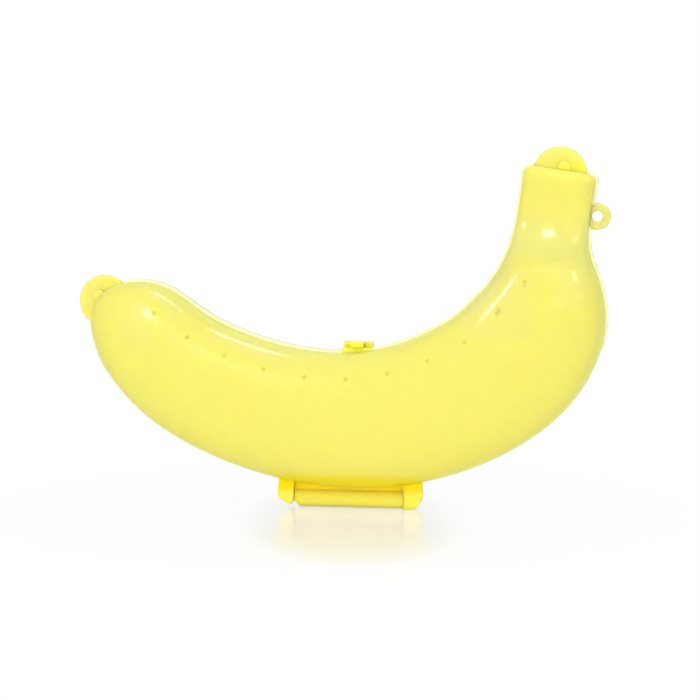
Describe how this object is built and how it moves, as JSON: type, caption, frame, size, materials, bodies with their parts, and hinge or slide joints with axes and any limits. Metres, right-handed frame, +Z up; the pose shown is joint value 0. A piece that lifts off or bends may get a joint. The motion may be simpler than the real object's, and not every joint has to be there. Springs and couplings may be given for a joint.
{
  "type": "banana carrying case",
  "caption": "Hinged two-part hard case in the shape of a banana, with vented shells, a flip latch, thumb tabs and a carry ring, standing on its hinge.",
  "frame": {"origin": "middle of the case's outer box, on the surface that the hinge's feet stand on", "axes": "+X along the case from its tip to its stem, +Y from the front half to the rear half, +Z up"},
  "size_m": [0.1949, 0.044, 0.1307],
  "materials": {
    "shell_plastic": "smooth moulded plastic, slightly see-through",
    "rim_plastic": "thin moulded edge, paler where light comes through",
    "fitting_plastic": "smooth moulded plastic, deeper where it is thick"
  },
  "bodies": {
    "rear_half": {"rear_shell": "shell_plastic", "rim_flange": "rim_plastic", "locating_lip": "shell_plastic", "hinge_barrel": "fitting_plastic", "tip_thumb_tab": "shell_plastic", "stem_thumb_tab": "shell_plastic", "carry_ring": "shell_plastic", "latch_lugs": "fitting_plastic", "latch_pin": "fitting_plastic"},
    "front_half": {"front_shell": "shell_plastic", "left_hinge_ear": "fitting_plastic", "right_hinge_ear": "fitting_plastic", "hinge_pin": "fitting_plastic", "tip_snap_nose": "shell_plastic", "stem_snap_nose": "shell_plastic", "latch_catch": "fitting_plastic"},
    "latch": {"latch_lever": "fitting_plastic"}
  },
  "joints": [
    {"name": "lid_hinge", "type": "hinge", "parent": "rear_half", "child": "front_half", "pos_m": [0.0038, 0, 0.0031], "axis": [1, 0, 0], "range_deg": [0, 180]},
    {"name": "latch_flip", "type": "hinge", "parent": "rear_half", "child": "latch", "pos_m": [0.0067, 0.0022, 0.05931], "axis": [-1, 0, 0], "range_deg": [0, 110]}
  ]
}
